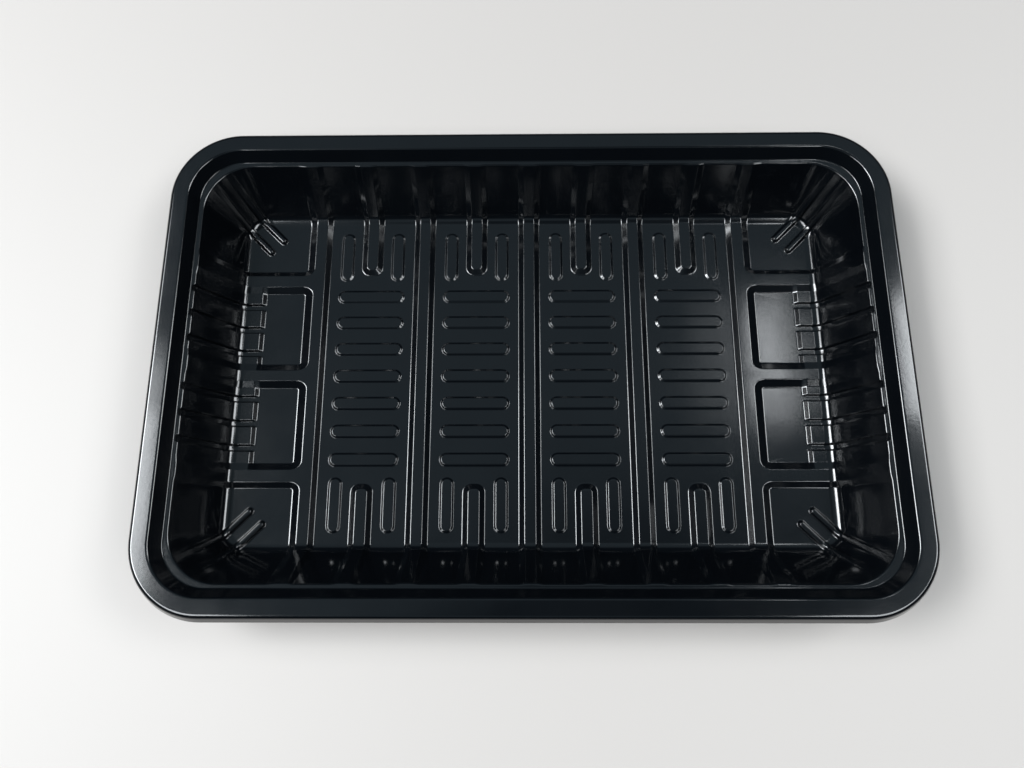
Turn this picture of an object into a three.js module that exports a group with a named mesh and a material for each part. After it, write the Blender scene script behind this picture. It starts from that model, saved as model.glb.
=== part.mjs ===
// A shallow rectangular food tray, pressed from one thin sheet: a rounded rim with a down-turned
// skirt, a narrow ledge inside it, sloping walls and a floor stiffened by ribs, ridges, small
// raised pills and four sunk pockets. Millimetres, +Z up. The tray rests on z = 0 with its
// middle over the origin and its long side along X.
import * as THREE from "three";

const sheet = 0.6; // thickness of the sheet
const pocketDrop = 0.3; // the sunk pockets lie this far below the panels
const ribRise = 1.5; // ribs and ridges stand this far above the panels
const blockRise = 0.95;
const pillRise = 0.55;
const panelZ = sheet + pocketDrop; // top face of the panels above the table

// Where wall and floor would meet without their fillet, and where the wall ends at the ledge.
const wallFoot = { halfX: 104.3, halfY: 60.7, radius: 8, z: 0 };
const wallHead = { halfX: 113.7, halfY: 71.45, radius: 16.6, z: 20.8 };
const filletRadius = 4;
const filletSteps = 3;

// From the outer edge of the ledge up the step, over the flat rim and down the skirt.
const rimCentre = { x: 100.45, y: 58.15 }; // centre of the rim's corner arcs
const rimProfile = [
  { halfX: 115.05, z: 20.8 },
  { halfX: 117.45, z: 24.45 },
  { halfX: 118.2, z: 25 },
  { halfX: 122.4, z: 25 },
  { halfX: 123.6, z: 24.5 },
  { halfX: 124.2, z: 23.5 },
  { halfX: 125, z: 21.6 },
];
const rimArcSteps = 8;

// Floor ribs, given by half their width at the base and half their flat top.
const rib = { base: 4.15, flat: 1.65, tipRadius: 3.3, topTipRadius: 1.1 };
const longRibX = [0, 38.5, 77]; // these run from the front wall to the back wall
const shortRibX = [19.25, 57.75]; // these stop at a rounded tip
const shortRibTip = 38;
const cornerRibs = { apart: 6.2, base: 1.6, flat: 0.4, inward: 5.5 }; // a narrow pair in each corner

// Pills on each panel: seven lie across it and two stand beside each short rib.
const pill = { half: 2.6, slope: 1.05, lengthX: 24.6, lengthY: 19.3, pitch: 10, rows: 3 };
const uprightPill = { offset: 9.3, y: 45.6 };
const pillSteps = 4; // sides on each rounded end

// Pocket outlines at the rib tops and at the pocket floor.
const outerRib = longRibX[2];
const cornerPocket = { topY: 37.6, floorY: 40.1, floorX: 81.95, radius: 0.7 };
const sunkPocket = { topY: [1.65, 33.85], floorY: [4.7, 30.9], floorX: 82.5, radius: 0.4 };
const arcSteps = 4;

// Blocks at the end walls, parted by flutes that run on up the wall as grooves.
const blocks = { frontX: 95.7, topX: 97.8 };
const flutes = { y: [8.4, 17.2, 25.9], half: 0.6, slope: 0.9 };

// Up the wall the floor's relief gives way to shallow ribs and deeper grooves.
const relief = [1, 0.99, 0.92, 0.8, 0.3, 0]; // share of it left at each ring of the wall
const ribAtTop = 0.3;
const grooveAtTop = -1.2;

// A point of the sheet: its place on the upper face and on the lower face under it.
const onFloor = (x, y, level) => {
  const z = panelZ + level;
  return { upper: [x, y, z], lower: [x, y, z - sheet] };
};

const triangles = []; // one quarter of the sheet, upper face, seen from above anticlockwise
const trimmed = []; // the cut edge of the skirt

function addTriangle(a, b, c) {
  const [[ax, ay], [bx, by], [cx, cy]] = [a.upper, b.upper, c.upper];
  const turn = (bx - ax) * (cy - ay) - (by - ay) * (cx - ax);
  if (a === b || b === c || c === a) return;
  triangles.push(turn > 0 ? [a, b, c] : [a, c, b]);
}

// Fills an outline, less any holes in it.
function addFace(outline, holes = []) {
  const flatten = (points) => points.map((p) => new THREE.Vector2(p.upper[0], p.upper[1]));
  const all = [outline, ...holes].flat();
  for (const [a, b, c] of THREE.ShapeUtils.triangulateShape(flatten(outline), holes.map(flatten)))
    addTriangle(all[a], all[b], all[c]);
}

// Joins two lines that have the same number of points.
function addBand(one, other) {
  for (let i = 0; i + 1 < one.length; i++) {
    addTriangle(one[i], one[i + 1], other[i + 1]);
    addTriangle(one[i], other[i + 1], other[i]);
  }
}

// Points on an arc of an ellipse, angles in degrees.
function arc(cx, cy, rx, ry, from, to, steps) {
  return Array.from({ length: steps + 1 }, (_, i) => {
    const a = THREE.MathUtils.degToRad(from + ((to - from) * i) / steps);
    return [cx + rx * Math.cos(a), cy + ry * Math.sin(a)];
  });
}

const raise = (line, level) => line.map(([x, y]) => onFloor(x, y, level));

// The wall's rings, from the edge of the floor to the ledge: profile points of the upper face.
function wallRings() {
  const slope = Math.atan2(wallHead.halfX - wallFoot.halfX, wallHead.z);
  const turn = Math.PI / 2 - slope;
  const inset = filletRadius * Math.tan(turn / 2);
  const rings = [];
  for (let i = 0; i <= filletSteps; i++) {
    const a = (turn * i) / filletSteps;
    const out = filletRadius * Math.sin(a) - inset;
    const up = filletRadius * (1 - Math.cos(a));
    rings.push({ out, z: up, lean: a });
  }
  const reach = wallHead.halfX - wallFoot.halfX;
  rings.push({ out: reach * 0.45, z: wallHead.z * 0.45, lean: turn });
  rings.push({ out: reach, z: wallHead.z, lean: Math.PI / 2 });
  return rings.map(({ out, z, lean }) => {
    const t = z / wallHead.z;
    const widen = (wallHead.halfY - wallFoot.halfY - reach) * t;
    const growth = (wallHead.radius - wallFoot.radius - reach) * t;
    return {
      halfX: wallFoot.halfX + out,
      halfY: wallFoot.halfY + out + widen,
      radius: wallFoot.radius + out + growth,
      z,
      inward: Math.sin(lean),
      upward: Math.cos(lean),
    };
  });
}

const rim = rimProfile.map(({ halfX, z }) => {
  const radius = halfX - rimCentre.x;
  return { halfX, halfY: rimCentre.y + radius, radius, z, inward: 0, upward: 0 };
});
const wall = wallRings();
const rings = [...wall, ...rim];

// The lower face keeps the sheet's thickness at right angles to the profile.
rings.forEach((ring, i) => {
  const normal = (from, to) => {
    const [dx, dz] = [to.halfX - from.halfX, to.z - from.z];
    const length = Math.hypot(dx, dz);
    return [dz / length, -dx / length];
  };
  const after = rings[i + 1] ? normal(ring, rings[i + 1]) : normal(rings[i - 1], ring);
  const before = i > 0 ? normal(rings[i - 1], ring) : [0, -1];
  const scale = sheet / (1 + before[0] * after[0] + before[1] * after[1]);
  ring.offsetOut = (before[0] + after[0]) * scale;
  ring.offsetUp = (before[1] + after[1]) * scale;
});

// A station stands on the back wall at x, on the end wall at y, or in the corner: there its
// place is a distance from the corner's diagonal, or a share of the arc left beside the ribs.
function onRing(ring, station, level) {
  const place = (grow) => {
    const [cx, cy] = [ring.halfX - ring.radius, ring.halfY - ring.radius];
    const r = ring.radius + grow;
    if (station.x !== undefined) return [station.x, cy + r, 0, 1];
    if (station.y !== undefined) return [cx + r, station.y, 1, 0];
    const eighth = (ring.radius * Math.PI) / 4;
    const walk = (across) => across <= ring.radius * Math.SQRT1_2
      ? ring.radius * Math.asin(across / ring.radius)
      : eighth + across * Math.SQRT2 - ring.radius;
    const ribFoot = walk(cornerRibs.apart / 2 + cornerRibs.base);
    const way = station.share === undefined
      ? walk(station.across)
      : ribFoot + Math.max(0, eighth - ribFoot) * station.share;
    const a = Math.PI / 4 - Math.min(way, eighth) / ring.radius;
    const along = [r * Math.cos(a), r * Math.sin(a) - Math.max(0, way - eighth)];
    const out = [Math.cos(a), Math.sin(a)];
    if (station.side < 0) [along, out].forEach((pair) => pair.reverse());
    return [cx + along[0], cy + along[1], ...out];
  };
  const shift = (grow, z) => {
    const [x, y, nx, ny] = place(grow);
    const h = level * ring.inward;
    return [x - nx * h, y - ny * h, panelZ + z + level * ring.upward];
  };
  return {
    upper: shift(0, ring.z),
    lower: shift(ring.offsetOut, ring.z + ring.offsetUp),
  };
}

const onRib = { level: ribRise, atTop: ribAtTop };
const onPanel = { level: 0, atTop: 0 };
const backStations = [
  { x: 0, ...onRib },
  ...[0, shortRibX[0], longRibX[1], shortRibX[1], longRibX[2]]
    .flatMap((x) => [
      { x: x - rib.base, ...onPanel },
      { x: x - rib.flat, ...onRib },
      { x: x + rib.flat, ...onRib },
      { x: x === outerRib ? cornerPocket.floorX : x + rib.base, ...onPanel },
    ])
    .filter(({ x }) => x > 0),
];

// Across one corner rib, from its outer foot to its inner foot.
const ribMiddle = cornerRibs.apart / 2;
const ribCrossing = [
  { across: ribMiddle + cornerRibs.base, level: 0, atTop: 0 },
  { across: ribMiddle + cornerRibs.flat, level: ribRise, atTop: 0 },
  { across: ribMiddle - cornerRibs.flat, level: ribRise, atTop: 0 },
  { across: ribMiddle - cornerRibs.base, level: 0, atTop: 0 },
];
const besideRibs = [1, 2 / 3, 1 / 3].map((share) => ({ share, ...onPanel }));
const onSide = (side, list) => list.map((station) => ({ side, ...station }));
const backHalf = onSide(-1, [...besideRibs, ...ribCrossing]);
const endHalf = onSide(1, [...besideRibs, ...ribCrossing]);

const slopeMeetsBlock = (end) => {
  const share = (ribRise - blockRise) / (ribRise + pocketDrop);
  return sunkPocket.topY[end] + (sunkPocket.floorY[end] - sunkPocket.topY[end]) * share;
};
const onBlock = { level: blockRise, atTop: 0 };
const inFlute = { level: -pocketDrop, atTop: grooveAtTop };
const endStations = [
  { y: cornerPocket.floorY, ...onPanel },
  { y: cornerPocket.topY, ...onRib },
  { y: sunkPocket.topY[1], ...onRib },
  { y: slopeMeetsBlock(1), ...onBlock },
  ...flutes.y.toReversed().flatMap((y) => [
    { y: y + flutes.half + flutes.slope, ...onBlock },
    { y: y + flutes.half, ...inFlute },
    { y: y - flutes.half, ...inFlute },
    { y: y - flutes.half - flutes.slope, ...onBlock },
  ]),
  { y: slopeMeetsBlock(0), ...onBlock },
  { y: sunkPocket.topY[0], ...onRib },
  { y: 0, ...onRib },
];
const stations = [...backStations, ...backHalf, ...endHalf.toReversed(), ...endStations];

// One line of points per wall ring; stations that meet in one place share one point.
const lines = wall.map((ring, i) => {
  const line = [];
  for (const station of stations) {
    const level = station.atTop + (station.level - station.atTop) * relief[i];
    const point = onRing(ring, station, level);
    const last = line.at(-1);
    const apart = last ? Math.hypot(...point.upper.map((v, k) => v - last.upper[k])) : 1;
    line.push(apart < 0.01 ? last : point);
  }
  return line;
});
for (let i = 0; i + 1 < lines.length; i++) addBand(lines[i], lines[i + 1]);

// The rim needs fewer stations than the wall.
const rimStations = [
  { x: 0 },
  { x: 50 },
  ...Array.from({ length: rimArcSteps + 1 }, (_, i) => ({ angle: 90 - (90 * i) / rimArcSteps })),
  { y: 30 },
  { y: 0 },
];
const rimLines = rim.map((ring) =>
  rimStations.map((station) => {
    if (station.angle === undefined) return onRing(ring, station, 0);
    const a = THREE.MathUtils.degToRad(station.angle);
    const place = (grow, z) => [
      rimCentre.x + (ring.radius + grow) * Math.cos(a),
      rimCentre.y + (ring.radius + grow) * Math.sin(a),
      panelZ + z,
    ];
    return { upper: place(0, ring.z), lower: place(ring.offsetOut, ring.z + ring.offsetUp) };
  }),
);
addFace([...lines.at(-1), ...rimLines[0].toReversed()]);
for (let i = 0; i + 1 < rimLines.length; i++) addBand(rimLines[i], rimLines[i + 1]);
for (let i = 0; i + 1 < rimStations.length; i++) {
  const [a, b] = [rimLines.at(-1)[i], rimLines.at(-1)[i + 1]];
  trimmed.push([a.upper, b.upper, b.lower], [a.upper, b.lower, a.lower]);
}

// Floor points on the edge of the floor.
const backPoint = (x) => lines[0][stations.findIndex((s) => s.x !== undefined && Math.abs(s.x - x) < 1e-6)];
const endPoint = (y) => lines[0][stations.findIndex((s) => s.y !== undefined && Math.abs(s.y - y) < 1e-6)];
const edgePoint = (station) => lines[0][stations.indexOf(station)];

// The outline of a rounded tip that points towards -Y, from its left side to its right side.
function tip(half, end, radius) {
  return [
    ...arc(radius - half, end + radius, radius, radius, 180, 270, arcSteps),
    ...arc(half - radius, end + radius, radius, radius, 270, 360, arcSteps),
  ];
}

// Long ribs.
for (const x of longRibX) {
  const sides = x > 0 ? [-1, 1] : [1];
  for (const side of sides) {
    if (x === outerRib && side > 0) continue;
    addBand(
      [onFloor(x + side * rib.flat, 0, ribRise), backPoint(x + side * rib.flat)],
      [onFloor(x + side * rib.base, 0, 0), backPoint(x + side * rib.base)],
    );
  }
  if (x === outerRib) continue;
  const left = x > 0 ? x - rib.flat : 0;
  addFace([
    onFloor(left, 0, ribRise),
    onFloor(x + rib.flat, 0, ribRise),
    backPoint(x + rib.flat),
    backPoint(left),
  ]);
}

// A pill's outline, anticlockwise from its right-hand end's lower corner.
function pillOutline(cx, cy, halfX, halfY) {
  const r = Math.min(halfX, halfY);
  const [dx, dy] = [halfX - r, halfY - r];
  const from = halfX > halfY ? -90 : 0;
  return [
    ...arc(cx + dx, cy + dy, r, r, from, from + 180, pillSteps),
    ...arc(cx - dx, cy - dy, r, r, from + 180, from + 360, pillSteps),
  ];
}

// Panels, each with its pills and its short rib.
for (const x of shortRibX) {
  const across = [];
  for (let row = 0; row <= pill.rows; row++) across.push([x, row * pill.pitch, pill.lengthX / 2, pill.half]);
  const upright = [-1, 1].map((side) => [
    x + side * uprightPill.offset, uprightPill.y, pill.half, pill.lengthY / 2,
  ]);
  const holes = [];
  for (const [cx, cy, halfX, halfY] of [...across.slice(1), ...upright]) {
    const base = raise(pillOutline(cx, cy, halfX, halfY), 0);
    const top = raise(pillOutline(cx, cy, halfX - pill.slope, halfY - pill.slope), pillRise);
    addBand([...base, base[0]], [...top, top[0]]);
    addFace(top);
    holes.push(base);
  }

  // The middle pill lies half in this quarter.
  const half = (line) => line.slice(pillSteps / 2, pillSteps / 2 + pillSteps + 2)
    .map(([px, py]) => [px, Math.max(py, 0)]);
  const base = raise(half(pillOutline(x, 0, pill.lengthX / 2, pill.half)), 0);
  const top = raise(half(pillOutline(x, 0, pill.lengthX / 2 - pill.slope, pill.half - pill.slope)), pillRise);
  addBand(base, top);
  addFace(top);

  const place = (line) => line.map(([dx, y]) => [x + dx, y]);
  const foot = raise(place(tip(rib.base, shortRibTip, rib.tipRadius)), 0);
  const crest = raise(
    place(tip(rib.flat, shortRibTip + rib.base - rib.flat, rib.topTipRadius)),
    ribRise,
  );
  const footLine = [backPoint(x - rib.base), ...foot, backPoint(x + rib.base)];
  const crestLine = [backPoint(x - rib.flat), ...crest, backPoint(x + rib.flat)];
  addBand(footLine, crestLine);
  addFace(crestLine);

  const [left, right] = [x - shortRibX[0] + rib.base, x + shortRibX[0] - rib.base];
  addFace(
    [
      onFloor(left, 0, 0), ...base.toReversed(), onFloor(right, 0, 0),
      backPoint(right), ...footLine.toReversed(), backPoint(left),
    ],
    holes,
  );
}

// Corner pocket: its outline at the rib tops and at its floor.
const pocketLeft = outerRib + rib.flat;
const pocketFloorLeft = cornerPocket.floorX;
const { radius: innerRadius } = cornerPocket;
const cornerCentre = [pocketFloorLeft + innerRadius, cornerPocket.floorY + innerRadius];
const cornerTop = [
  backPoint(pocketLeft),
  ...raise(
    arc(...cornerCentre, cornerCentre[0] - pocketLeft, cornerCentre[1] - cornerPocket.topY, 180, 270, arcSteps),
    ribRise,
  ),
  endPoint(cornerPocket.topY),
];
const cornerFloor = [
  backPoint(pocketFloorLeft),
  ...raise(arc(...cornerCentre, innerRadius, innerRadius, 180, 270, arcSteps), 0),
  endPoint(cornerPocket.floorY),
];
addBand(cornerTop, cornerFloor);

// Corner ribs: short and narrow, turned to 45 degrees, with a round tip.
const floorEdge = wall[0];
const floorCorner = [floorEdge.halfX - floorEdge.radius, floorEdge.halfY - floorEdge.radius];
const turnIn = (line) =>
  line.map(([across, along]) => [
    floorCorner[0] + (along + across) * Math.SQRT1_2,
    floorCorner[1] + (along - across) * Math.SQRT1_2,
  ]);
function makeCornerRib(side, half) {
  const [outerFoot, outerTop, innerTop, innerFoot] = half.slice(-ribCrossing.length).map(edgePoint);
  const tipLine = (width) => {
    const line = arc(side * ribMiddle, cornerRibs.base - cornerRibs.inward, width, width, 180, 360, arcSteps);
    return side > 0 ? line : line.toReversed();
  };
  const foot = [innerFoot, ...raise(turnIn(tipLine(cornerRibs.base)), 0), outerFoot];
  const crest = [innerTop, ...raise(turnIn(tipLine(cornerRibs.flat)), ribRise), outerTop];
  addBand(foot, crest);
  addFace(crest);
  return foot;
}
const endFoot = makeCornerRib(1, endHalf);
const backFoot = makeCornerRib(-1, backHalf);
addFace([...cornerFloor, ...endFoot.toReversed(), ...backFoot]);

// Sunk pocket: outline at the ridge tops, from the end wall round the rib and back.
const sunkCorner = (end, from, to) => {
  const centre = [
    sunkPocket.floorX + sunkPocket.radius,
    sunkPocket.floorY[end] + (end ? -1 : 1) * sunkPocket.radius,
  ];
  const reachX = centre[0] - pocketLeft;
  const reachY = Math.abs(centre[1] - sunkPocket.topY[end]);
  return {
    top: raise(arc(...centre, reachX, reachY, from, to, arcSteps), ribRise),
    floor: raise(arc(...centre, sunkPocket.radius, sunkPocket.radius, from, to, arcSteps), -pocketDrop),
  };
};
const upperCorner = sunkCorner(1, 90, 180);
const lowerCorner = sunkCorner(0, 180, 270);
const sunkTop = [...upperCorner.top, ...lowerCorner.top];
const sunkFloor = [...upperCorner.floor, ...lowerCorner.floor];
addBand(sunkTop, sunkFloor);

// The raised rib and ridges round the pockets.
addFace([
  onFloor(outerRib - rib.flat, 0, ribRise),
  backPoint(outerRib - rib.flat),
  ...cornerTop,
  endPoint(sunkPocket.topY[1]),
  ...sunkTop,
  endPoint(sunkPocket.topY[0]),
  endPoint(0),
]);

// Blocks along the end wall, from the far ridge to the middle ridge.
const blockEdges = [
  slopeMeetsBlock(1),
  ...flutes.y.toReversed().flatMap((y) => [
    y + flutes.half + flutes.slope,
    y - flutes.half - flutes.slope,
  ]),
  slopeMeetsBlock(0),
];
const blockFeet = [
  sunkPocket.floorY[1],
  ...flutes.y.toReversed().flatMap((y) => [y + flutes.half, y - flutes.half]),
  sunkPocket.floorY[0],
];
const front = blockEdges.map((y) => onFloor(blocks.topX, y, blockRise));
const frontFeet = blockFeet.map((y) => onFloor(blocks.frontX, y, -pocketDrop));
for (let i = 0; i < blockEdges.length; i += 2) {
  const [a, b] = [i, i + 1];
  addFace([front[a], endPoint(blockEdges[a]), endPoint(blockEdges[b]), front[b]]);
  addFace([frontFeet[a], front[a], front[b], frontFeet[b]]);
  for (const side of [a, b]) {
    const outermost = side === 0 || side === blockEdges.length - 1;
    if (!outermost)
      addFace([frontFeet[side], front[side], endPoint(blockEdges[side]), endPoint(blockFeet[side])]);
  }
}
addFace([
  upperCorner.top[0], endPoint(sunkPocket.topY[1]), endPoint(blockEdges[0]),
  front[0], frontFeet[0], upperCorner.floor[0],
]);
addFace([
  lowerCorner.top.at(-1), endPoint(sunkPocket.topY[0]), endPoint(blockEdges.at(-1)),
  front.at(-1), frontFeet.at(-1), lowerCorner.floor.at(-1),
]);
const fluteFloor = [];
for (let i = 1; i + 1 < blockFeet.length; i += 2)
  fluteFloor.push(frontFeet[i], endPoint(blockFeet[i]), endPoint(blockFeet[i + 1]), frontFeet[i + 1]);
addFace([...sunkFloor, frontFeet.at(-1), ...fluteFloor.toReversed(), frontFeet[0]]);

// Both faces and the cut edge of the quarter, mirrored into the other three.
const positions = [];
for (const [mirrorX, mirrorY] of [[1, 1], [-1, 1], [-1, -1], [1, -1]]) {
  const flip = mirrorX * mirrorY < 0;
  const push = (corners) => {
    const turned = flip ? corners.toReversed() : corners;
    for (const [x, y, z] of turned) positions.push(x * mirrorX, y * mirrorY, z);
  };
  for (const triangle of triangles) {
    push(triangle.map((p) => p.upper));
    push(triangle.map((p) => p.lower).reverse());
  }
  trimmed.forEach(push);
}
const shape = new THREE.BufferGeometry();
shape.setAttribute("position", new THREE.Float32BufferAttribute(positions, 3));
shape.computeVertexNormals();

const plastic = new THREE.MeshStandardMaterial({ color: 0x15181a, roughness: 0.34, metalness: 0 });
const tray = new THREE.Mesh(shape, plastic);
tray.name = "tray";

const group = new THREE.Group();
group.name = "food_tray";
group.add(tray);

export default group;
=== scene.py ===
import math

import bpy
from mathutils import Matrix, Vector
from mathutils.geometry import tessellate_polygon


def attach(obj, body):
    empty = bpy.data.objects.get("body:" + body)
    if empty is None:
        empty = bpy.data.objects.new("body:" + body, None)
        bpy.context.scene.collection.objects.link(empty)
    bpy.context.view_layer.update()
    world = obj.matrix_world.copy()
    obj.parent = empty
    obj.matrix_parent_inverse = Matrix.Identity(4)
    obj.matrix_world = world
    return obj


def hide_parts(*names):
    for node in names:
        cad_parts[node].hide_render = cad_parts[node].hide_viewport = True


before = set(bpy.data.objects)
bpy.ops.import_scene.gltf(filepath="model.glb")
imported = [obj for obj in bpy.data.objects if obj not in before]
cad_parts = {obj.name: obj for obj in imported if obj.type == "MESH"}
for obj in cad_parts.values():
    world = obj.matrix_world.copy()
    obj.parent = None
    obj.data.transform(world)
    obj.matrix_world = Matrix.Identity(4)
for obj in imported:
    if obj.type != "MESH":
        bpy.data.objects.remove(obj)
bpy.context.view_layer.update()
mm = 0.001
slack = 1e-6    # for comparing places


# all sizes are in millimetres, levels count from the top face of the four panels
sheet = {
    "thickness": 0.6,
    "pocketDrop": 0.3,   # sunk pockets lie this far below the panels
    "ribRise": 1.5,      # ribs and ridges stand this far above the panels
    "blockRise": 0.95,
    "pillRise": 0.55,
}
panelHeight = sheet["thickness"] + sheet["pocketDrop"]   # above the table
raised = sheet["ribRise"]
sunk = -sheet["pocketDrop"]
block = sheet["blockRise"]


def ease(t):
    return t * t * (3 - 2 * t)


def mixPairs(a, b, t):
    return (a[0] + (b[0] - a[0]) * t, a[1] + (b[1] - a[1]) * t)


def arcPoints(centre, radii, fromDegrees, toDegrees, steps):
    points = []
    for i in range(steps + 1):
        a = math.radians(fromDegrees + (toDegrees - fromDegrees) * i / steps)
        points.append((centre[0] + radii[0] * math.cos(a), centre[1] + radii[1] * math.sin(a)))
    return points


def slopeForm(width, height, piece):
    # a pressed slope: rounded shoulder, straight flank, rounded foot
    # gives (share of the way out, share of the way down) from shoulder to foot
    shoulder, foot, steps = piece["shoulder"], piece["foot"], piece["slopeSteps"]
    room = 0.48 * (width ** 2 + height ** 2) / height    # at half, no straight flank is left
    both = min(shoulder + foot, room)
    shoulder, foot = both * shoulder / (shoulder + foot), both * foot / (shoulder + foot)
    flank = math.sqrt(width ** 2 + height ** 2 - 2 * height * both)
    lean = math.atan2(height - both, width) + math.atan2(both, flank)
    leans = [lean * i / steps for i in range(steps + 1)]
    form = [(shoulder * math.sin(a) / width, shoulder * (1 - math.cos(a)) / height) for a in leans]
    form += [
        (1 - foot * math.sin(a) / width, 1 - foot * (1 - math.cos(a)) / height)
        for a in reversed(leans)
    ]
    return form


# one quarter of the sheet: every point has its place on the upper and on the lower face
quarter = {"upper": [], "lower": [], "index": {}, "faces": [], "cutEdge": []}


def sheetPoint(upper, lower):
    key = tuple(round(v, 4) + 0.0 for v in upper)
    if key not in quarter["index"]:
        quarter["index"][key] = len(quarter["upper"])
        quarter["upper"].append(upper)
        quarter["lower"].append(lower)
    return quarter["index"][key]


def floorPoint(xy, level):
    z = panelHeight + level
    return sheetPoint((xy[0], xy[1], z), (xy[0], xy[1], z - sheet["thickness"]))


def floorLine(line, level):
    return [floorPoint(xy, level) for xy in line]


def addFace(corners):
    kept = [c for i, c in enumerate(corners) if c != corners[i - 1]]
    if len(kept) < 3:
        return
    points = [quarter["upper"][c] for c in kept]
    turn = sum(a[0] * b[1] - b[0] * a[1] for a, b in zip(points, points[1:] + points[:1]))
    quarter["faces"].append(kept if turn > 0 else kept[::-1])


def addBand(one, other):
    for i in range(len(one) - 1):
        addFace([one[i], one[i + 1], other[i + 1], other[i]])


def addFlat(outline, holes=()):
    rings = [list(dict.fromkeys(ring)) for ring in (outline, *holes)]
    flatIndex = [c for ring in rings for c in ring]
    drawn = [[Vector(quarter["upper"][c][:2] + (0,)) for c in ring] for ring in rings]
    for triangle in tessellate_polygon(drawn):
        addFace([flatIndex[i] for i in triangle])


def addSlope(topLine, footLine, topLevel, footLevel, form, startPoints=None, endPoints=None):
    # slope between two outlines with the same number of points, returns its two edges
    lines = []
    for i, (out, down) in enumerate(form):
        level = topLevel + (footLevel - topLevel) * down
        line = floorLine([mixPairs(a, b, out) for a, b in zip(topLine, footLine)], level)
        if startPoints:
            line[0] = startPoints[i]
        if endPoints:
            line[-1] = endPoints[i]
        lines.append(line)
    for one, other in zip(lines, lines[1:]):
        addBand(one, other)
    return lines[0], lines[-1]


# walls and rim
wall = {
    # where it would meet the floor, and where it meets the ledge
    "foot": {"halfX": 104.3, "halfY": 60.7, "radius": 8.0, "z": 0.0},
    "head": {"halfX": 113.7, "halfY": 71.45, "radius": 16.6, "z": 20.8},
    "filletRadius": 4.0,
    "headRadius": 0.9,
    "filletSteps": 9,
    "headSteps": 5,
    "panelSteps": 5,
    # share of the floor's relief left at each height
    "relief": ((0, 1), (2.5, 0.8), (9.4, 0.3), (20.8, 0.0)),
    "ribTop": 0.3,       # ribs end this proud under the ledge
    "grooveTop": -1.2,   # and the flutes this deep
}
rim = {
    "centre": (100.45, 58.15),    # of the corner arcs
    # distance out and height: ledge, step top, outer bend
    "corners": ((115.05, 20.8), (117.8, 25.0), (123.55, 25.0)),
    "radii": (0.7, 1.1, 1.7),
    "skirtEnd": (125.0, 21.6),
    "arcSteps": (4, 5, 8),
    "cornerSteps": 24,
    "straightX": (0, 25, 50, 75),
    "straightY": (44, 30, 15, 0),
}


def heightShare(table, z):
    for (z0, a), (z1, b) in zip(table, table[1:]):
        if z <= z1:
            return a + (b - a) * ease(max(z - z0, 0) / (z1 - z0))
    return table[-1][1]


def roundedCorner(before, corner, after, radius, steps):
    # profile points round a corner: distance out, height, and lean of the face from level
    leanIn = math.atan2(corner[1] - before[1], corner[0] - before[0])
    leanOut = math.atan2(after[1] - corner[1], after[0] - corner[0])
    turn = leanOut - leanIn
    reach = radius * math.tan(abs(turn) / 2)
    side = math.copysign(1, turn)
    start = (corner[0] - reach * math.cos(leanIn), corner[1] - reach * math.sin(leanIn))
    centre = (start[0] - side * radius * math.sin(leanIn), start[1] + side * radius * math.cos(leanIn))
    points = []
    for i in range(steps + 1):
        lean = leanIn + turn * i / steps
        points.append((
            centre[0] + side * radius * math.sin(lean),
            centre[1] - side * radius * math.cos(lean),
            lean,
        ))
    return points


def makeRings():
    foot, head = wall["foot"], wall["head"]
    floorMiddle = (0.0, 0.0)
    footCorner, headCorner = (foot["halfX"], foot["z"]), (head["halfX"], head["z"])
    ledgeCorner = rim["corners"][0]

    profile = roundedCorner(
        floorMiddle, footCorner, headCorner, wall["filletRadius"], wall["filletSteps"]
    )
    headArc = roundedCorner(
        footCorner, headCorner, ledgeCorner, wall["headRadius"], wall["headSteps"]
    )
    (u0, z0, lean), (u1, z1, _) = profile[-1], headArc[0]
    for i in range(1, wall["panelSteps"]):
        t = i / wall["panelSteps"]
        profile.append((u0 + (u1 - u0) * t, z0 + (z1 - z0) * t, lean))
    wallProfile = profile + headArc

    rimProfile = []
    ends = (headCorner, *rim["corners"], rim["skirtEnd"])
    for i, (radius, steps) in enumerate(zip(rim["radii"], rim["arcSteps"])):
        rimProfile += roundedCorner(ends[i], ends[i + 1], ends[i + 2], radius, steps)
    rimProfile.append((*rim["skirtEnd"], rimProfile[-1][2]))

    wallRings = []
    for u, z, lean in wallProfile:
        t = z / head["z"]
        runX = head["halfX"] - foot["halfX"]
        wallRings.append({
            "halfX": u,
            "halfY": u - foot["halfX"] + foot["halfY"] + (head["halfY"] - foot["halfY"] - runX) * t,
            "radius": u - foot["halfX"] + foot["radius"] + (head["radius"] - foot["radius"] - runX) * t,
            "z": z,
            "lean": lean,
        })
    rimRings = []
    for u, z, lean in rimProfile:
        radius = u - rim["centre"][0]
        rimRings.append({
            "halfX": u, "halfY": rim["centre"][1] + radius, "radius": radius, "z": z, "lean": lean,
        })
    return wallRings, rimRings


wallRings, rimRings = makeRings()
floorEdge = wallRings[0]
edgeX, edgeY = floorEdge["halfX"], floorEdge["halfY"]
cornerCentre = (edgeX - floorEdge["radius"], edgeY - floorEdge["radius"])

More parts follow.
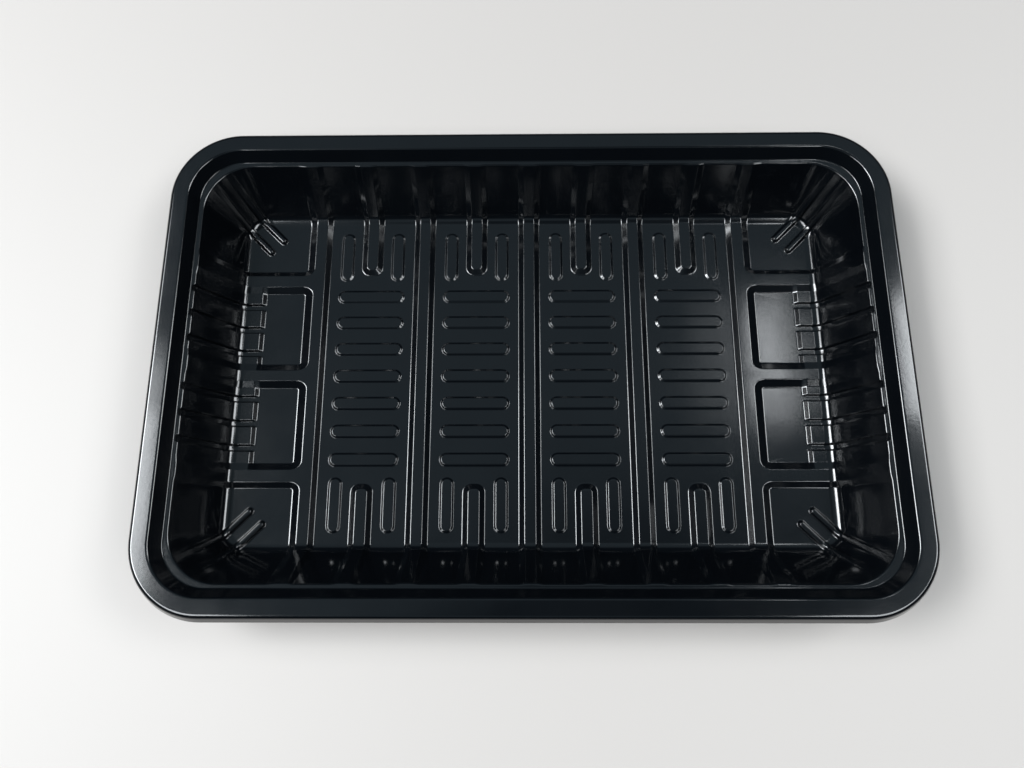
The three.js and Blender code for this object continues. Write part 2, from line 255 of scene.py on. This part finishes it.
# ribs, pockets and flutes of the floor
ribs = {
    "base": 4.15, "flat": 1.65,          # half widths at the foot and on top
    "longX": (0, 38.5, 77.0),
    "shortX": (19.25, 57.75),
    "shortTip": 38.0, "tipRadius": 3.3, "topTipRadius": 1.1,
    "shoulder": 0.7, "foot": 0.9,        # rounding radii
    "slopeSteps": 4, "tipSteps": 6,
}
cornerRibs = {
    "apart": 6.2, "base": 1.6, "flat": 0.4, "inward": 5.5,
    "shoulder": 0.5, "foot": 0.5, "slopeSteps": 3,
    "wallStartY": 49.0, "wallSteps": 7,
}
pills = {
    "half": 2.6, "slope": 1.05, "lengthX": 24.6, "lengthY": 19.3, "pitch": 10, "rows": 3,
    "standingOffset": 9.3, "standingY": 45.6,
    "shoulder": 0.5, "foot": 0.4,
    "endSteps": 10, "slopeSteps": 3,
}
pockets = {
    "side": 78.65,                       # top edge of the outer long rib
    "cornerFloorX": 81.95, "cornerTopY": 37.6, "cornerFloorY": 40.1, "cornerRadius": 0.7,
    "sunkFloorX": 82.5, "sunkTopY": (1.65, 33.85), "sunkFloorY": (4.7, 30.9), "sunkRadius": 0.4,
    "cornerSteps": 7,
}
endBlocks = {
    "frontX": 95.7, "topX": 97.8,
    "fluteY": (8.4, 17.2, 25.9), "fluteHalf": 0.6, "fluteSlope": 0.9,
    "shoulder": 0.5, "foot": 0.4, "slopeSteps": 3,
}

ribForm = slopeForm(ribs["base"] - ribs["flat"], raised, ribs)
pocketForm = slopeForm(pockets["sunkFloorY"][0] - pockets["sunkTopY"][0], raised - sunk, ribs)
frontForm = slopeForm(endBlocks["topX"] - endBlocks["frontX"], block - sunk, ribs)
fluteForm = slopeForm(endBlocks["fluteSlope"], block - sunk, endBlocks)
cornerRibForm = slopeForm(cornerRibs["base"] - cornerRibs["flat"], raised, cornerRibs)
pillForm = slopeForm(pills["slope"], sheet["pillRise"], pills)


def slopeStops(top, foot, topLevel, footLevel, form):
    # (place, level) down a slope
    return [
        (top + (foot - top) * out, topLevel + (footLevel - topLevel) * down) for out, down in form
    ]


def ribStation(kind, at, level):
    return {"kind": kind, "at": at, "level": level, "high": wall["ribTop"] * level / raised}


def backWallStations():
    stops = []
    for x in sorted(ribs["longX"] + ribs["shortX"]):
        outerTop, outerFoot = x + ribs["flat"], x + ribs["base"]
        if x == ribs["longX"][-1]:
            outerTop, outerFoot = pockets["side"], pockets["cornerFloorX"]
        if x == 0:
            stops.append((0, raised))
        else:
            stops += slopeStops(x - ribs["flat"], x - ribs["base"], raised, 0, ribForm)[::-1]
        stops += slopeStops(outerTop, outerFoot, raised, 0, ribForm)
    return [ribStation("back", x, level) for x, level in stops]


def blockStops():
    # (y, level at the end wall, level in the pocket) between the far ridge and the middle one
    (topA, topB), (floorA, floorB) = pockets["sunkTopY"], pockets["sunkFloorY"]

    def ridgeStop(top, floor, out, down):
        atWall, inPocket = raised + (block - raised) * down, raised + (sunk - raised) * down
        return top + (floor - top) * out, atWall, inPocket

    stops = [ridgeStop(topB, floorB, out, down) for out, down in pocketForm]
    for y in reversed(endBlocks["fluteY"]):
        near, far = endBlocks["fluteHalf"], endBlocks["fluteHalf"] + endBlocks["fluteSlope"]
        farSide = slopeStops(y + far, y + near, block, sunk, fluteForm)
        nearSide = slopeStops(y - far, y - near, block, sunk, fluteForm)[::-1]
        stops += [(at, level, sunk) for at, level in farSide + nearSide]
    return stops + [ridgeStop(topA, floorA, out, down) for out, down in reversed(pocketForm)]


def endWallStations():
    found = slopeStops(pockets["cornerTopY"], pockets["cornerFloorY"], raised, 0, ribForm)[::-1]
    result = [ribStation("end", y, level) for y, level in found]
    for y, level, _ in blockStops():
        if level >= block:
            high = wall["ribTop"] * (level - block) / (raised - block)
        else:
            high = wall["grooveTop"] * (block - level) / (block - sunk)
        result.append({"kind": "end", "at": y, "level": level, "high": high})
    return result + [ribStation("end", 0, raised)]


def makeStations():
    apart, base = cornerRibs["apart"] / 2, cornerRibs["base"]
    flank = slopeStops(cornerRibs["flat"], base, raised, 0, cornerRibForm)
    across = [(apart + a, level) for a, level in reversed(flank)] + [(apart, raised)]
    across += [(apart - a, level) for a, level in flank] + [((apart - base) / 2, 0)]
    shares = [i / cornerRibs["wallSteps"] for i in range(cornerRibs["wallSteps"])]

    def inCorner(kind, side, **place):
        return {"kind": kind, "side": side, "level": 0, "high": 0, **place}

    result = backWallStations()
    result += [inCorner("approach", -1, share=s) for s in shares]
    result += [inCorner("across", -1, across=a, level=level) for a, level in across]
    result.append(inCorner("across", 1, across=0))
    result += [inCorner("across", 1, across=a, level=level) for a, level in reversed(across)]
    result += [inCorner("approach", 1, share=s) for s in reversed(shares)]
    return result + endWallStations()


def placeOnRing(ring, station, grow):
    # plan position and outward direction on a ring that is grown outwards
    centre = (ring["halfX"] - ring["radius"], ring["halfY"] - ring["radius"])
    radius = ring["radius"] + grow
    if station["kind"] == "back":
        return (station["at"], centre[1] + radius), (0.0, 1.0)
    if station["kind"] == "end":
        return (centre[0] + radius, station["at"]), (1.0, 0.0)
    if station["kind"] == "angle":
        a = math.radians(station["at"])
        out = (math.cos(a), math.sin(a))
        return (centre[0] + radius * out[0], centre[1] + radius * out[1]), out

    # distance along the ring from the corner's diagonal, round the arc and on along the straight wall
    eighth = ring["radius"] * math.pi / 4

    def walked(across):
        if across <= ring["radius"] * math.sqrt(0.5):
            return ring["radius"] * math.asin(across / ring["radius"])
        return eighth + across * math.sqrt(2) - ring["radius"]

    if station["kind"] == "across":
        way = walked(station["across"])
    else:
        ribFoot = walked(cornerRibs["apart"] / 2 + cornerRibs["base"])
        straight = eighth + cornerCentre[1] - cornerRibs["wallStartY"] + centre[1] - cornerCentre[1]
        way = straight + (ribFoot - straight) * station["share"]
    if way <= eighth:
        a = math.pi / 4 - way / ring["radius"]
        out, back = (math.cos(a), math.sin(a)), 0.0
    else:
        out, back = (1.0, 0.0), way - eighth
    x, y = radius * out[0], radius * out[1] - back
    if station["side"] < 0:
        x, y, out = y, x, (out[1], out[0])
    return (centre[0] + x, centre[1] + y), out


def ringPoint(ring, station, level=0.0, pushLean=0.0):
    def shifted(grow, z):
        (x, y), out = placeOnRing(ring, station, grow)
        push = level * math.sin(pushLean)
        return (x - out[0] * push, y - out[1] * push, panelHeight + z + level * math.cos(pushLean))

    t = sheet["thickness"]
    upper = shifted(0, ring["z"])
    lower = shifted(t * math.sin(ring["lean"]), ring["z"] - t * math.cos(ring["lean"]))
    return sheetPoint(upper, lower)


stations = makeStations()


def makeWall():
    wallLean = wallRings[wall["filletSteps"]]["lean"]
    filletTop, headZ = wallRings[wall["filletSteps"]]["z"], wall["head"]["z"]
    lines = []
    for i, ring in enumerate(wallRings):
        pushLean = ring["lean"]
        if i > wall["filletSteps"]:      # higher up, ribs and grooves push straight sideways
            t = min((ring["z"] - filletTop) / (headZ - filletTop), 1)
            pushLean = wallLean + (math.pi / 2 - wallLean) * t
        share = heightShare(wall["relief"], ring["z"])
        levels = [
            station["high"] + (station["level"] - station["high"]) * share for station in stations
        ]
        lines.append([
            ringPoint(ring, station, level, pushLean) for station, level in zip(stations, levels)
        ])
    for one, other in zip(lines, lines[1:]):
        addBand(one, other)
    return lines


def makeRim(ledgeInner):
    rimStations = [{"kind": "back", "at": x} for x in rim["straightX"]]
    rimStations += [
        {"kind": "angle", "at": 90 - 90 * i / rim["cornerSteps"]} for i in range(rim["cornerSteps"] + 1)
    ]
    rimStations += [{"kind": "end", "at": y} for y in rim["straightY"]]
    lines = [[ringPoint(ring, station) for station in rimStations] for ring in rimRings]
    addFlat(ledgeInner + lines[0][::-1])
    for one, other in zip(lines, lines[1:]):
        addBand(one, other)
    quarter["cutEdge"] = lines[-1]


wallLines = makeWall()
makeRim(wallLines[-1])
print("walls, ledge and rim laid out:", len(stations), "stations on each quarter")

floorLineOut = wallLines[0]


def edgePoints(wanted):
    # the points where the floor meets the wall at the stations asked for
    return [p for s, p in zip(stations, floorLineOut) if wanted(s)]


def roundTip(half, end, radius):
    # outline of a rounded tip pointing towards -Y, from its left side to its right side
    steps = ribs["tipSteps"]
    return (
        arcPoints((radius - half, end + radius), (radius, radius), 180, 270, steps)
        + arcPoints((half - radius, end + radius), (radius, radius), 270, 360, steps)
    )


def makeLongRibs():
    for x in ribs["longX"]:
        outermost = x == ribs["longX"][-1]
        for side in ((1,) if x == 0 else (-1,) if outermost else (-1, 1)):
            top, foot = x + side * ribs["flat"], x + side * ribs["base"]
            addSlope([(top, 0), (top, edgeY)], [(foot, 0), (foot, edgeY)], raised, 0, ribForm)
        if not outermost:
            left = x - ribs["flat"] if x > 0 else 0
            right = x + ribs["flat"]
            addFace(floorLine([(left, 0), (right, 0), (right, edgeY), (left, edgeY)], raised))


def pillOutline(centre, halfX, halfY):
    r = min(halfX, halfY)
    dx, dy = halfX - r, halfY - r
    start = -90 if halfX > halfY else 0
    steps = pills["endSteps"]
    return (
        arcPoints((centre[0] + dx, centre[1] + dy), (r, r), start, start + 180, steps)
        + arcPoints((centre[0] - dx, centre[1] - dy), (r, r), start + 180, start + 360, steps)
    )


def makePill(centre, halfX, halfY):
    foot = pillOutline(centre, halfX, halfY)
    top = pillOutline(centre, halfX - pills["slope"], halfY - pills["slope"])
    topPoints, footPoints = addSlope(top + top[:1], foot + foot[:1], sheet["pillRise"], 0, pillForm)
    addFlat(topPoints[:-1])
    return footPoints[:-1]


def makeMiddlePill(x):
    # only its far half lies in this quarter
    steps = pills["endSteps"]

    def farHalf(shrink):
        outline = pillOutline((x, 0), pills["lengthX"] / 2 - shrink, pills["half"] - shrink)
        return [(px, max(py, 0.0)) for px, py in outline[steps // 2:steps // 2 + steps + 2]]

    topPoints, footPoints = addSlope(
        farHalf(pills["slope"]), farHalf(0), sheet["pillRise"], 0, pillForm
    )
    addFlat(topPoints)
    return footPoints


def makePanel(x):
    footHoles = [
        makePill((x, row * pills["pitch"]), pills["lengthX"] / 2, pills["half"])
        for row in range(1, pills["rows"] + 1)
    ]
    footHoles += [
        makePill(
            (x + side * pills["standingOffset"], pills["standingY"]),
            pills["half"], pills["lengthY"] / 2,
        )
        for side in (-1, 1)
    ]
    middle = makeMiddlePill(x)

    def ribOutline(half, end, radius):
        tip = [(x + dx, y) for dx, y in roundTip(half, end, radius)]
        return [(x - half, edgeY), *tip, (x + half, edgeY)]

    foot = ribOutline(ribs["base"], ribs["shortTip"], ribs["tipRadius"])
    top = ribOutline(
        ribs["flat"], ribs["shortTip"] + ribs["base"] - ribs["flat"], ribs["topTipRadius"]
    )
    topPoints, footPoints = addSlope(top, foot, raised, 0, ribForm)
    addFlat(topPoints)

    halfPanel = ribs["shortX"][0] - ribs["base"]
    left, right = x - halfPanel, x + halfPanel
    outline = [floorPoint((left, 0), 0), *middle[::-1], floorPoint((right, 0), 0)]
    outline += [floorPoint((right, edgeY), 0), *footPoints[::-1], floorPoint((left, edgeY), 0)]
    addFlat(outline, footHoles)


def makeCornerRib(side):
    # a narrow rib along the corner's diagonal, returns its outline on the pocket floor
    middle = side * cornerRibs["apart"] / 2
    base, flat = cornerRibs["base"], cornerRibs["flat"]

    def turnedIn(line):
        # from across and along the diagonal to the tray's own axes
        s = math.sqrt(0.5)
        return [(cornerCentre[0] + (v + u) * s, cornerCentre[1] + (v - u) * s) for u, v in line]

    def onRib(low, high):
        def wanted(station):
            if station["kind"] != "across":
                return False
            along = station["side"] * station["across"] - middle
            return low - slack <= along <= high + slack

        return edgePoints(wanted)

    def outline(half, end):
        tip = [(middle + u, v) for u, v in roundTip(half, end, half)]
        return turnedIn([(middle - half, 0), *tip, (middle + half, 0)])

    top = outline(flat, base - flat - cornerRibs["inward"])
    foot = outline(base, -cornerRibs["inward"])
    topPoints, footPoints = addSlope(
        top, foot, raised, 0, cornerRibForm, onRib(-base, -flat)[::-1], onRib(flat, base)
    )
    addFlat(topPoints + onRib(-flat, flat)[::-1])
    return footPoints


def makeCornerPocket():
    r = pockets["cornerRadius"]
    side, floorLeft = pockets["side"], pockets["cornerFloorX"]
    centre = (floorLeft + r, pockets["cornerFloorY"] + r)
    topRadii = (centre[0] - side, centre[1] - pockets["cornerTopY"])
    steps = pockets["cornerSteps"]
    top = arcPoints(centre, topRadii, 180, 270, steps)
    top = [(side, edgeY), *top, (edgeX, pockets["cornerTopY"])]
    foot = arcPoints(centre, (r, r), 180, 270, steps)
    foot = [(floorLeft, edgeY), *foot, (edgeX, pockets["cornerFloorY"])]
    topPoints, footPoints = addSlope(top, foot, raised, 0, ribForm)

    inner = cornerRibs["apart"] / 2 - cornerRibs["base"]
    outline = footPoints + edgePoints(lambda s: s["kind"] == "approach" and s["side"] > 0)[::-1]
    outline += makeCornerRib(1)[::-1]
    outline += edgePoints(lambda s: s["kind"] == "across" and s["across"] <= inner + slack)[::-1]
    outline += makeCornerRib(-1)[::-1]
    outline += edgePoints(lambda s: s["kind"] == "approach" and s["side"] < 0)[::-1]
    addFlat(outline)
    return topPoints


def makeSunkPocket():
    (topA, topB), (floorA, floorB) = pockets["sunkTopY"], pockets["sunkFloorY"]
    r = pockets["sunkRadius"]
    centreX = pockets["sunkFloorX"] + r
    reachX = centreX - pockets["side"]
    steps = pockets["cornerSteps"]
    far, near = (centreX, floorB - r), (centreX, floorA + r)
    frontX = endBlocks["frontX"]
    top = [
        (frontX, topB), *arcPoints(far, (reachX, topB - far[1]), 90, 180, steps),
        *arcPoints(near, (reachX, near[1] - topA), 180, 270, steps), (frontX, topA),
    ]
    foot = [
        (frontX, floorB), *arcPoints(far, (r, r), 90, 180, steps),
        *arcPoints(near, (r, r), 180, 270, steps), (frontX, floorA),
    ]
    topPoints, footPoints = addSlope(top, foot, raised, sunk, pocketForm)

    # blocks and flutes: a patch whose profile changes from the pocket's to the end wall's
    stops = blockStops()
    columns = slopeStops(endBlocks["topX"], frontX, 1, 0, frontForm)[::-1] + [(edgeX, 1)]
    patch = [
        [floorPoint((x, y), low + (high - low) * share) for y, high, low in stops]
        for x, share in columns
    ]
    for one, other in zip(patch, patch[1:]):
        addBand(one, other)

    frontLine = [
        p for p, (y, _, _) in zip(patch[0], stops) if floorA - slack <= y <= floorB + slack
    ]
    addFlat(footPoints + frontLine[::-1])
    farRidge = [line[0] for line in patch]
    nearRidge = [line[-1] for line in patch]
    return topPoints, farRidge, nearRidge


def makeFloor():
    makeLongRibs()
    for x in ribs["shortX"]:
        makePanel(x)
    cornerTop = makeCornerPocket()
    sunkTop, farRidge, nearRidge = makeSunkPocket()
    left = ribs["longX"][-1] - ribs["flat"]
    addFlat(
        [floorPoint((left, 0), raised), floorPoint((left, edgeY), raised), *cornerTop]
        + farRidge[::-1] + sunkTop[1:-1] + nearRidge + [floorPoint((edgeX, 0), raised)]
    )


makeFloor()
print("floor laid out:", len(quarter["faces"]), "faces on each quarter")


def makeTray():
    # mirrors the quarter into four, joins upper face, lower face and the cut edge of the skirt
    points, seen, faces = [], {}, []

    def place(xyz, mirror, layer):
        x, y, z = xyz[0] * mirror[0], xyz[1] * mirror[1], xyz[2]
        key = (layer, round(x, 4) + 0.0, round(y, 4) + 0.0, round(z, 4))
        if key not in seen:
            seen[key] = len(points)
            points.append((x * mm, y * mm, z * mm))
        return seen[key]

    for mirror in ((1, 1), (-1, 1), (-1, -1), (1, -1)):
        flip = mirror[0] * mirror[1] < 0
        upper = [place(p, mirror, "upper") for p in quarter["upper"]]
        lower = [place(p, mirror, "lower") for p in quarter["lower"]]
        for face in quarter["faces"]:
            turned = face[::-1] if flip else face
            faces.append([upper[c] for c in turned])
            faces.append([lower[c] for c in reversed(turned)])
        for a, b in zip(quarter["cutEdge"], quarter["cutEdge"][1:]):
            strip = [upper[a], upper[b], lower[b], lower[a]]
            faces.append(strip[::-1] if flip else strip)

    mesh = bpy.data.meshes.new("tray")
    mesh.from_pydata(points, [], faces)
    mesh.validate()
    for polygon in mesh.polygons:
        polygon.use_smooth = True
    tray = bpy.data.objects.new("pressedTray", mesh)
    bpy.context.collection.objects.link(tray)
    return tray


finish = {
    "sharpDegrees": 50,      # edges sharper than this stay crisp
    "normalWeight": 80,
}


def smoothTray(tray):
    mesh = tray.data
    mesh.set_sharp_from_angle(angle=math.radians(finish["sharpDegrees"]))
    weighted = tray.modifiers.new("evenShading", "WEIGHTED_NORMAL")
    weighted.mode = "FACE_AREA"
    weighted.weight = finish["normalWeight"]
    weighted.keep_sharp = True


tray = makeTray()
smoothTray(tray)
print("tray pressed:", len(tray.data.polygons), "faces,", len(tray.data.vertices), "points")

plastic = {
    "deepBlack": (0.0006, 0.0009, 0.0014, 1),
    "dustyBlack": (0.0014, 0.0019, 0.0026, 1),
    "ior": 1.49,
    "roughness": (0.10, 0.14),      # from the polished patches to the duller ones
    "dullSpan": (0.35, 0.65),       # part of the pattern that spans them
    # scale, detail and roughness of each pattern, heights in metres
    "tintNoise": (60, 4, 0.5),
    "dullNoise": (35, 6, 0.6),
    "waveNoise": (55, 1, 0.5), "waveHeight": 0.00006,
    "peelNoise": (900, 3, 0.5), "peelHeight": 0.000006,
}


def blackPlastic():
    material = bpy.data.materials.new("blackSatinPlastic")
    material.use_nodes = True
    nodes, links = material.node_tree.nodes, material.node_tree.links
    shader = nodes["Principled BSDF"]
    shader.inputs["IOR"].default_value = plastic["ior"]
    place = nodes.new("ShaderNodeTexCoord").outputs["Object"]

    def noise(name):
        node = nodes.new("ShaderNodeTexNoise")
        for socket, value in zip(("Scale", "Detail", "Roughness"), plastic[name]):
            node.inputs[socket].default_value = value
        links.new(place, node.inputs["Vector"])
        return node.outputs["Fac"]

    tint = nodes.new("ShaderNodeMix")
    tint.data_type = "RGBA"
    tint.inputs["A"].default_value = plastic["deepBlack"]
    tint.inputs["B"].default_value = plastic["dustyBlack"]
    links.new(noise("tintNoise"), tint.inputs["Factor"])
    links.new(tint.outputs["Result"], shader.inputs["Base Color"])

    dullness = nodes.new("ShaderNodeMapRange")
    inputs = dullness.inputs
    inputs["From Min"].default_value, inputs["From Max"].default_value = plastic["dullSpan"]
    inputs["To Min"].default_value, inputs["To Max"].default_value = plastic["roughness"]
    links.new(noise("dullNoise"), dullness.inputs["Value"])
    links.new(dullness.outputs["Result"], shader.inputs["Roughness"])

    wave = nodes.new("ShaderNodeBump")
    wave.inputs["Distance"].default_value = plastic["waveHeight"]
    links.new(noise("waveNoise"), wave.inputs["Height"])
    peel = nodes.new("ShaderNodeBump")
    peel.inputs["Distance"].default_value = plastic["peelHeight"]
    links.new(noise("peelNoise"), peel.inputs["Height"])
    links.new(wave.outputs["Normal"], peel.inputs["Normal"])
    links.new(peel.outputs["Normal"], shader.inputs["Normal"])
    return material


tray.data.materials.append(blackPlastic())
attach(tray, "root")
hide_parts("tray")
print("plastic finished")

studio = {
    "tableSize": 3.0,
    "tableColour": (0.305, 0.285, 0.27, 1),
    "tableRoughness": 0.6,
    # light from the air by direction: height above the horizon from 0 to 1, colour
    "air": (
        (0.0, (0.015, 0.02, 0.025)),
        (0.58, (0.02, 0.025, 0.03)),
        (0.70, (0.20, 0.26, 0.30)),
        (0.80, (0.25, 0.33, 0.38)),
        (1.0, (0.27, 0.35, 0.40)),
    ),
    # dark card overhead, and the share of the light that it lets past
    "flag": {"slopeX": 0.15, "slopeY": -0.22, "reach": (0.20, 0.42), "share": 0.2},
    "lamps": {
        # edges as slopes from straight up, seen from the tray: across, then towards the back
        "rightLamp": {"slopeX": (0.505, 0.60), "slopeY": (0.205, 0.37), "radiance": 17},
        "rightGlow": {"slopeX": (0.325, 0.36), "slopeY": (0.205, 0.37), "radiance": 12.5},
        "rightHaze": {"slopeX": (0.235, 0.325), "slopeY": (0.205, 0.37), "radiance": 0.8},
        "rightLow": {"slopeX": (0.62, 1.08), "slopeY": (-0.1, 0.5), "radiance": 14},
        "rightFront": {"slopeX": (0.40, 0.75), "slopeY": (-0.6, -0.1), "radiance": 11},
        "leftLamp": {"slopeX": (-0.56, -0.475), "slopeY": (-0.02, 0.21), "radiance": 16},
        "leftGlow": {"slopeX": (-0.56, -0.475), "slopeY": (0.21, 0.29), "radiance": 7},
        "leftLow": {"slopeX": (-1.08, -0.58), "slopeY": (-0.2, 0.34), "radiance": 34},
        "leftLowBack": {"slopeX": (-1.08, -0.58), "slopeY": (0.34, 0.55), "radiance": 12},
        "leftFront": {"slopeX": (-0.75, -0.40), "slopeY": (-0.6, -0.1), "radiance": 13},
    },
    "lampHeight": 1.5,
    "lampColour": (0.93, 0.97, 1.0),
}
lens = {
    "place": (-2.854, -68.529, 258.138),    # from the panels' top face, in millimetres
    "tilt": 0.24863, "pan": 0.01257, "roll": -0.00265,
    "focal": 26.37, "sensor": 36,
    "nearest": 10,    # what lies closer isn't drawn
}


def makeTable():
    half = studio["tableSize"] / 2
    mesh = bpy.data.meshes.new("table")
    corners = [(-half, -half, 0), (half, -half, 0), (half, half, 0), (-half, half, 0)]
    mesh.from_pydata(corners, [], [(0, 1, 2, 3)])
    table = bpy.data.objects.new("paleTable", mesh)
    bpy.context.collection.objects.link(table)
    material = bpy.data.materials.new("paleTableTop")
    material.use_nodes = True
    shader = material.node_tree.nodes["Principled BSDF"]
    shader.inputs["Base Color"].default_value = studio["tableColour"]
    shader.inputs["Roughness"].default_value = studio["tableRoughness"]
    mesh.materials.append(material)


def makeLamps():
    eye = (lens["place"][0] * mm, lens["place"][1] * mm)
    drop = (lens["place"][2] + panelHeight) * mm     # the camera's mirror image lies this far below
    height = studio["lampHeight"]
    reach = height + drop
    for name, lamp in studio["lamps"].items():
        light = bpy.data.lights.new(name, "AREA")
        light.shape = "RECTANGLE"
        (x0, x1), (y0, y1) = lamp["slopeX"], lamp["slopeY"]
        light.size, light.size_y = (x1 - x0) * reach, (y1 - y0) * reach
        light.color = studio["lampColour"]
        light.energy = lamp["radiance"] * math.pi * light.size * light.size_y
        holder = bpy.data.objects.new(name, light)
        holder.location = (eye[0] + (x0 + x1) / 2 * reach, eye[1] + (y0 + y1) / 2 * reach, height)
        bpy.context.collection.objects.link(holder)


def makeAir():
    # a pale ceiling that darkens towards the horizon, with a dark card beside the zenith
    world = bpy.data.worlds.new("air")
    world.use_nodes = True
    nodes, links = world.node_tree.nodes, world.node_tree.links
    background = nodes["Background"]
    direction = nodes.new("ShaderNodeTexCoord").outputs["Generated"]
    split = nodes.new("ShaderNodeSeparateXYZ")
    links.new(direction, split.inputs["Vector"])

    ramp = nodes.new("ShaderNodeValToRGB")
    stops = ramp.color_ramp.elements
    while len(stops) < len(studio["air"]):
        stops.new(0.5)
    for stop, (height, colour) in zip(stops, studio["air"]):
        stop.position = height
        stop.color = (*colour, 1)
    links.new(split.outputs["Z"], ramp.inputs["Fac"])

    flag = studio["flag"]
    towards = Vector((flag["slopeX"], flag["slopeY"], 1)).normalized()
    away = nodes.new("ShaderNodeVectorMath")
    away.operation = "DISTANCE"
    away.inputs[1].default_value = towards
    links.new(direction, away.inputs[0])
    shade = nodes.new("ShaderNodeMapRange")
    shade.interpolation_type = "SMOOTHSTEP"
    shade.inputs["From Min"].default_value, shade.inputs["From Max"].default_value = flag["reach"]
    shade.inputs["To Min"].default_value = flag["share"]
    links.new(away.outputs["Value"], shade.inputs["Value"])

    dimmed = nodes.new("ShaderNodeVectorMath")
    dimmed.operation = "SCALE"
    links.new(ramp.outputs["Color"], dimmed.inputs[0])
    links.new(shade.outputs["Result"], dimmed.inputs["Scale"])
    links.new(dimmed.outputs["Vector"], background.inputs["Color"])
    bpy.context.scene.world = world


def makeCamera():
    data = bpy.data.cameras.new("camera")
    data.lens, data.sensor_width, data.sensor_fit = lens["focal"], lens["sensor"], "HORIZONTAL"
    data.clip_start = lens["nearest"] * mm
    camera = bpy.data.objects.new("camera", data)
    x, y, z = lens["place"]
    camera.matrix_world = (
        Matrix.Translation((x * mm, y * mm, (z + panelHeight) * mm))
        @ Matrix.Rotation(lens["tilt"], 4, "X")
        @ Matrix.Rotation(lens["pan"], 4, "Y")
        @ Matrix.Rotation(lens["roll"], 4, "Z")
    )
    bpy.context.collection.objects.link(camera)
    bpy.context.scene.camera = camera


makeTable()
makeLamps()
makeAir()
makeCamera()
bpy.context.scene.view_settings.view_transform = "Standard"
print("table, lamps and camera set")
